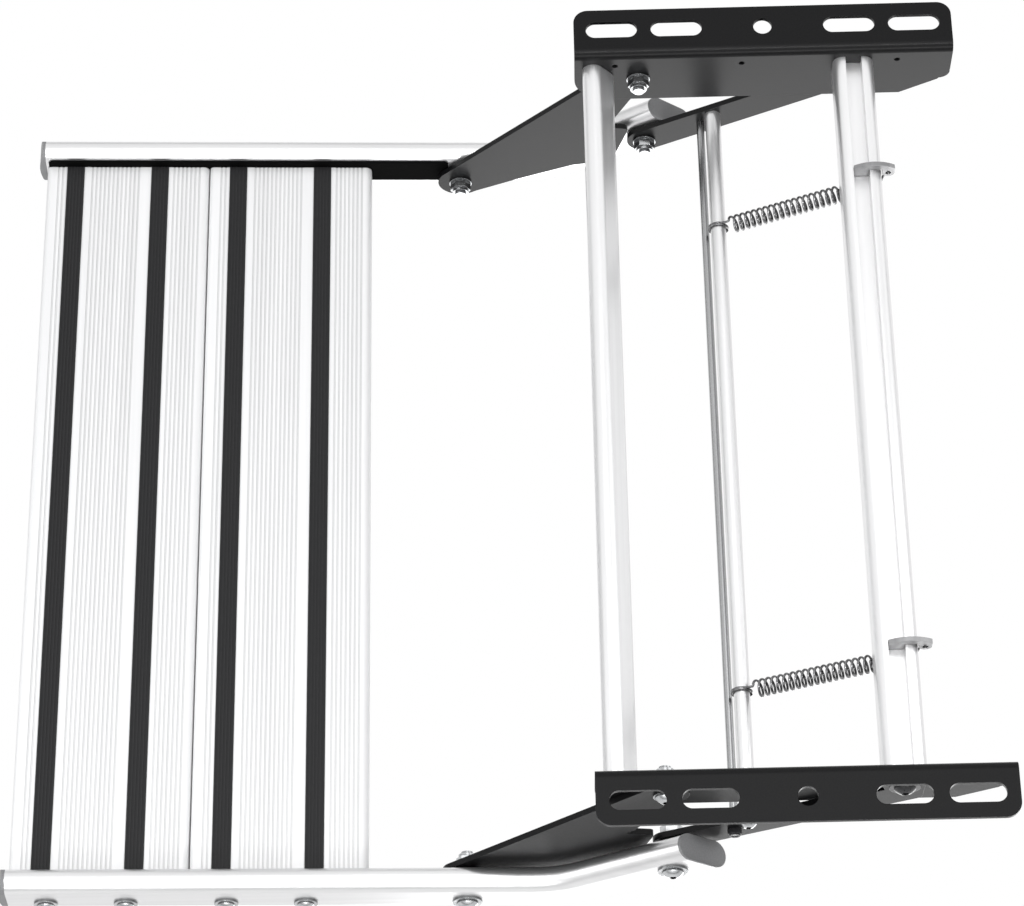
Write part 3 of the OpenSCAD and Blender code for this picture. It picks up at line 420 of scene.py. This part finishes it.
# Round wire: at each row a ring of points, the middle plus radius times
# (cosine times the across direction plus sine times its normal), and a fan closes each end.
def sweepWire(name, rows, radius, sides):
    middle, across = rows[:, :3], rows[:, 3:]
    ahead = np.gradient(middle, axis=0)
    ahead /= np.linalg.norm(ahead, axis=1, keepdims=True)
    across = across - (across * ahead).sum(1, keepdims=True) * ahead
    across /= np.linalg.norm(across, axis=1, keepdims=True)
    normal = np.cross(ahead, across)
    angle = 2 * np.pi * np.arange(sides) / sides
    ring = (middle[:, None, :] + radius * (
        np.cos(angle)[None, :, None] * across[:, None, :]
        + np.sin(angle)[None, :, None] * normal[:, None, :]))
    count = len(rows)
    points = np.vstack([ring.reshape(-1, 3), middle[:1], middle[-1:]])
    this = np.arange(sides)
    following = (this + 1) % sides
    start = (np.arange(count - 1) * sides)[:, None]
    faces = np.stack([start + this, start + following,
                      start + sides + following, start + sides + this], 2)
    last = (count - 1) * sides
    caps = [(count * sides, (i + 1) % sides, i) for i in range(sides)]
    caps += [(count * sides + 1, last + i, last + (i + 1) % sides)
             for i in range(sides)]
    mesh = bpy.data.meshes.new(name)
    mesh.from_pydata(points.tolist(), [], faces.reshape(-1, 4).tolist() + caps)
    mesh.shade_smooth()
    wire = bpy.data.objects.new(name, mesh)
    bpy.context.scene.collection.objects.link(wire)
    return wire


springPath = smoothRows(springRows(springLook), springLook["stepsBetween"])
for side, place in springLook["places"].items():
    wire = sweepWire("springWire_" + side, springPath + np.array((0, place, 0, 0, 0, 0)),
                     springLook["wire"], springLook["sides"])
    wire.data.materials.append(springSteel)
    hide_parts("spring_" + side)
    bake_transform(wire)
print("springs wound")

# Dark strips let into the arms' inner faces. Along the arm they run from and to places measured
# from the arm's bend, which lies at bendAt (X, Z), and they tilt with the arm by tilt degrees.
# Face and back are distances from the middle plane, and flat and half are half heights.
stripLook = {
    "bendAt": (-0.154061, -0.166111), "tilt": -2.881, "from": -0.368, "to": -0.07295,
    "face": 0.27545, "back": 0.2767, "flat": 0.01075, "half": 0.0124, "lip": 0.0003,
    "cornerRadius": 0.004, "cornerSteps": 7,
}


# Both strips in one mesh. Along the arm the half height is the full one less the rounding of
# the end corners; across it the profile runs up the back, over the lip, down the face and
# under again.
def inlayStrips(look):
    r = look["cornerRadius"]
    sweep = np.radians(np.linspace(0, 90, look["cornerSteps"]))
    ends = r * (1 - np.cos(sweep))
    along = np.concatenate([look["from"] + ends, look["to"] - ends[::-1]])
    drop = r * (1 - np.sin(sweep))
    half = look["half"] - np.concatenate([drop, drop[::-1]])
    face, back, lip = look["face"], look["back"], look["lip"]
    share = look["flat"] / look["half"]
    depth = np.array([back, back, face + lip, face, face, face, face + lip])
    height = np.array([-1.0, 1.0, 1.0, share, 0.0, -share, -1.0])
    x = np.repeat(along[:, None], len(depth), 1)
    z = half[:, None] * height[None, :]
    turn = math.radians(look["tilt"])
    worldX = look["bendAt"][0] + x * math.cos(turn) - z * math.sin(turn)
    worldZ = look["bendAt"][1] + x * math.sin(turn) + z * math.cos(turn)
    worldY = np.repeat(depth[None, :], len(along), 0)
    n, m = x.shape
    i = (np.arange(n - 1) * m)[:, None]
    j = np.arange(m)
    after = (j + 1) % m
    quads = np.stack([i + j, i + m + j, i + m + after, i + after], 2).reshape(-1, 4)
    shell = quads.tolist() + [list(range(m)), list(range((n - 1) * m, n * m))[::-1]]
    points, faces = [], []
    for side in (1, -1):
        start = len(points) * n * m
        points.append(np.stack([worldX, side * worldY, worldZ], 2).reshape(-1, 3))
        faces += [[start + k for k in (f if side > 0 else f[::-1])] for f in shell]
    mesh = bpy.data.meshes.new("inlayStrips")
    mesh.from_pydata(np.vstack(points).tolist(), [], faces)
    strips = bpy.data.objects.new("inlayStrips", mesh)
    bpy.context.scene.collection.objects.link(strips)
    mesh.materials.append(inlayRubber)
    return strips


strips = inlayStrips(stripLook)
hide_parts("arm_inlays")
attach(strips, "step")
print("strips laid in the arms")

# Camera, solved from mirrored features of the photograph and kept as a place and a set of
# angles in degrees
cameraLook = {
    "place": (-0.15413, -1.03485, 1.94633), "yaw": -1.5418, "down": 63.0, "roll": 2.7236,
    "focalPixels": 3325.3, "pictureWidth": 1024, "sensor": 36.0, "clip": (0.05, 20.0),
}


# Points the camera by its heading from +Y, its angle below the horizon and its roll.
def addCamera(look):
    yaw, down, roll = (math.radians(look[k]) for k in ("yaw", "down", "roll"))
    forward = Vector((
        math.sin(yaw) * math.cos(down), math.cos(yaw) * math.cos(down), -math.sin(down)))
    level = Vector((math.cos(yaw), -math.sin(yaw), 0.0))
    below = forward.cross(level)
    right = level * math.cos(roll) + below * math.sin(roll)
    under = below * math.cos(roll) - level * math.sin(roll)
    turn = Matrix((right, -under, -forward)).transposed()
    data = bpy.data.cameras.new("camera")
    data.sensor_width = look["sensor"]
    data.lens = look["focalPixels"] * look["sensor"] / look["pictureWidth"]
    data.clip_start, data.clip_end = look["clip"]
    camera = bpy.data.objects.new("camera", data)
    camera.matrix_world = Matrix.Translation(look["place"]) @ turn.to_4x4()
    bpy.context.scene.collection.objects.link(camera)
    bpy.context.scene.camera = camera


addCamera(cameraLook)

# Light: a white room as the camera sees it, with soft lamps above the object, on the near
# side, at both ends and below
lamps = {
    "overhead": {
        "place": (-1.0, -0.5, 2.3), "aim": (-0.25, 0.0, -0.1),
        "size": (1.4, 1.4), "watts": 6.0},
    "front": {
        "place": (0.1, -2.4, 1.15), "aim": (0.1, 0.0, -0.1),
        "size": (2.4, 0.3), "watts": 22.0},
    "crown": {
        "place": (-0.05, -0.35, 2.3), "aim": (-0.05, 0.1, -0.1),
        "size": (1.8, 0.16), "watts": 19.0},
    "under": {
        "place": (0.25, -0.28, -1.1), "aim": (0.25, -0.1, 0.0),
        "size": (1.1, 0.5), "watts": 5.4},
    "above": {
        "place": (0.1, 0.6, 2.3), "aim": (0.1, -0.2, 0.0),
        "size": (1.2, 0.6), "watts": 3.4},
    "side": {
        "place": (-2.2, -0.4, 0.8), "aim": (-0.2, 0.0, -0.1),
        "size": (1.2, 1.8), "watts": 10.0},
    "rear": {
        "place": (1.9, 0.3, 0.9), "aim": (0.0, 0.0, -0.1),
        "size": (1.0, 1.8), "watts": 8.0},
}
for name, look in lamps.items():
    data = bpy.data.lights.new(name, "AREA")
    data.shape = "RECTANGLE"
    data.size, data.size_y = look["size"]
    data.energy = look["watts"]
    lamp = bpy.data.objects.new(name, data)
    aim = Vector(look["aim"]) - Vector(look["place"])
    turn = aim.to_track_quat("-Z", "Y").to_matrix().to_4x4()
    lamp.matrix_world = Matrix.Translation(look["place"]) @ turn
    lamp.visible_camera = False
    bpy.context.scene.collection.objects.link(lamp)


# 1 for the rays that show the background: straight to the camera, in gloss and through glass.
def showsBackground(tree):
    path = addNode(tree, "ShaderNodeLightPath")
    straight = addNode(tree, "ShaderNodeMath", {
        0: path.outputs["Is Camera Ray"], 1: path.outputs["Is Glossy Ray"]}, operation="MAXIMUM")
    through = addNode(tree, "ShaderNodeMath", {
        0: straight.outputs[0], 1: path.outputs["Is Transmission Ray"]}, operation="MAXIMUM")
    return through.outputs[0]


# The horizon values say how bright and how high the dim band is that gloss shows.
roomLook = {
    "seen": (1.0, 1.0, 1.0), "light": (0.80, 0.81, 0.82), "strength": 0.55,
    "horizon": 0.4, "horizonHeight": 0.25,
}


# The camera sees white; the object is lit by a softer grey, and gloss shows white above and
# below a dimmer band along the horizon.
def addRoom(look):
    world = bpy.data.worlds.new("room")
    bpy.context.scene.world = world
    world.use_nodes = True
    tree = world.node_tree
    tree.nodes.clear()
    heading = addNode(tree, "ShaderNodeTexCoord")
    parts = addNode(tree, "ShaderNodeSeparateXYZ", {"Vector": heading.outputs["Generated"]})
    height = addNode(tree, "ShaderNodeMath", {0: parts.outputs["Z"]}, operation="ABSOLUTE")
    band = addNode(tree, "ShaderNodeMapRange", {
        "Value": height.outputs[0], "From Min": 0.0, "From Max": look["horizonHeight"],
        "To Min": look["horizon"], "To Max": 1.0}, interpolation_type="SMOOTHSTEP")
    path = addNode(tree, "ShaderNodeLightPath")
    strength = addNode(tree, "ShaderNodeMath", {
        0: band.outputs["Result"], 1: path.outputs["Is Camera Ray"]}, operation="MAXIMUM")
    seen = addNode(tree, "ShaderNodeBackground", {
        "Color": (*look["seen"], 1.0), "Strength": strength.outputs[0]})
    lit = addNode(tree, "ShaderNodeBackground", {
        "Color": (*look["light"], 1.0), "Strength": look["strength"]})
    mixed = addNode(tree, "ShaderNodeMixShader", {
        0: showsBackground(tree), 1: lit.outputs["Background"], 2: seen.outputs["Background"]})
    output = addNode(tree, "ShaderNodeOutputWorld")
    tree.links.new(mixed.outputs["Shader"], output.inputs["Surface"])


addRoom(roomLook)

# Floor, far enough below that no shadow shows. White is what the camera and gloss see, and
# grey is what the lamps light.
floorLook = {
    "height": -1.2, "half": 6.0, "white": (1.0, 1.0, 1.0), "grey": (0.8, 0.8, 0.8),
}


# A floor of one face that the camera sees as plain white.
def addFloor(look):
    mesh = bpy.data.meshes.new("floor")
    h, z = look["half"], look["height"]
    mesh.from_pydata([(-h, -h, z), (h, -h, z), (h, h, z), (-h, h, z)], [], [(0, 1, 2, 3)])
    floor = bpy.data.objects.new("floor", mesh)
    bpy.context.scene.collection.objects.link(floor)
    material = bpy.data.materials.new("paleFloor")
    material.use_nodes = True
    tree = material.node_tree
    tree.nodes.clear()
    plain = addNode(tree, "ShaderNodeEmission", {
        "Color": (*look["white"], 1.0), "Strength": 1.0})
    lit = addNode(tree, "ShaderNodeBsdfDiffuse", {"Color": (*look["grey"], 1.0)})
    mixed = addNode(tree, "ShaderNodeMixShader", {
        0: showsBackground(tree), 1: lit.outputs["BSDF"], 2: plain.outputs["Emission"]})
    output = addNode(tree, "ShaderNodeOutputMaterial")
    tree.links.new(mixed.outputs["Shader"], output.inputs["Surface"])
    mesh.materials.append(material)


addFloor(floorLook)
print("camera, lamps and floor placed")

bpy.context.scene.view_settings.view_transform = "Standard"
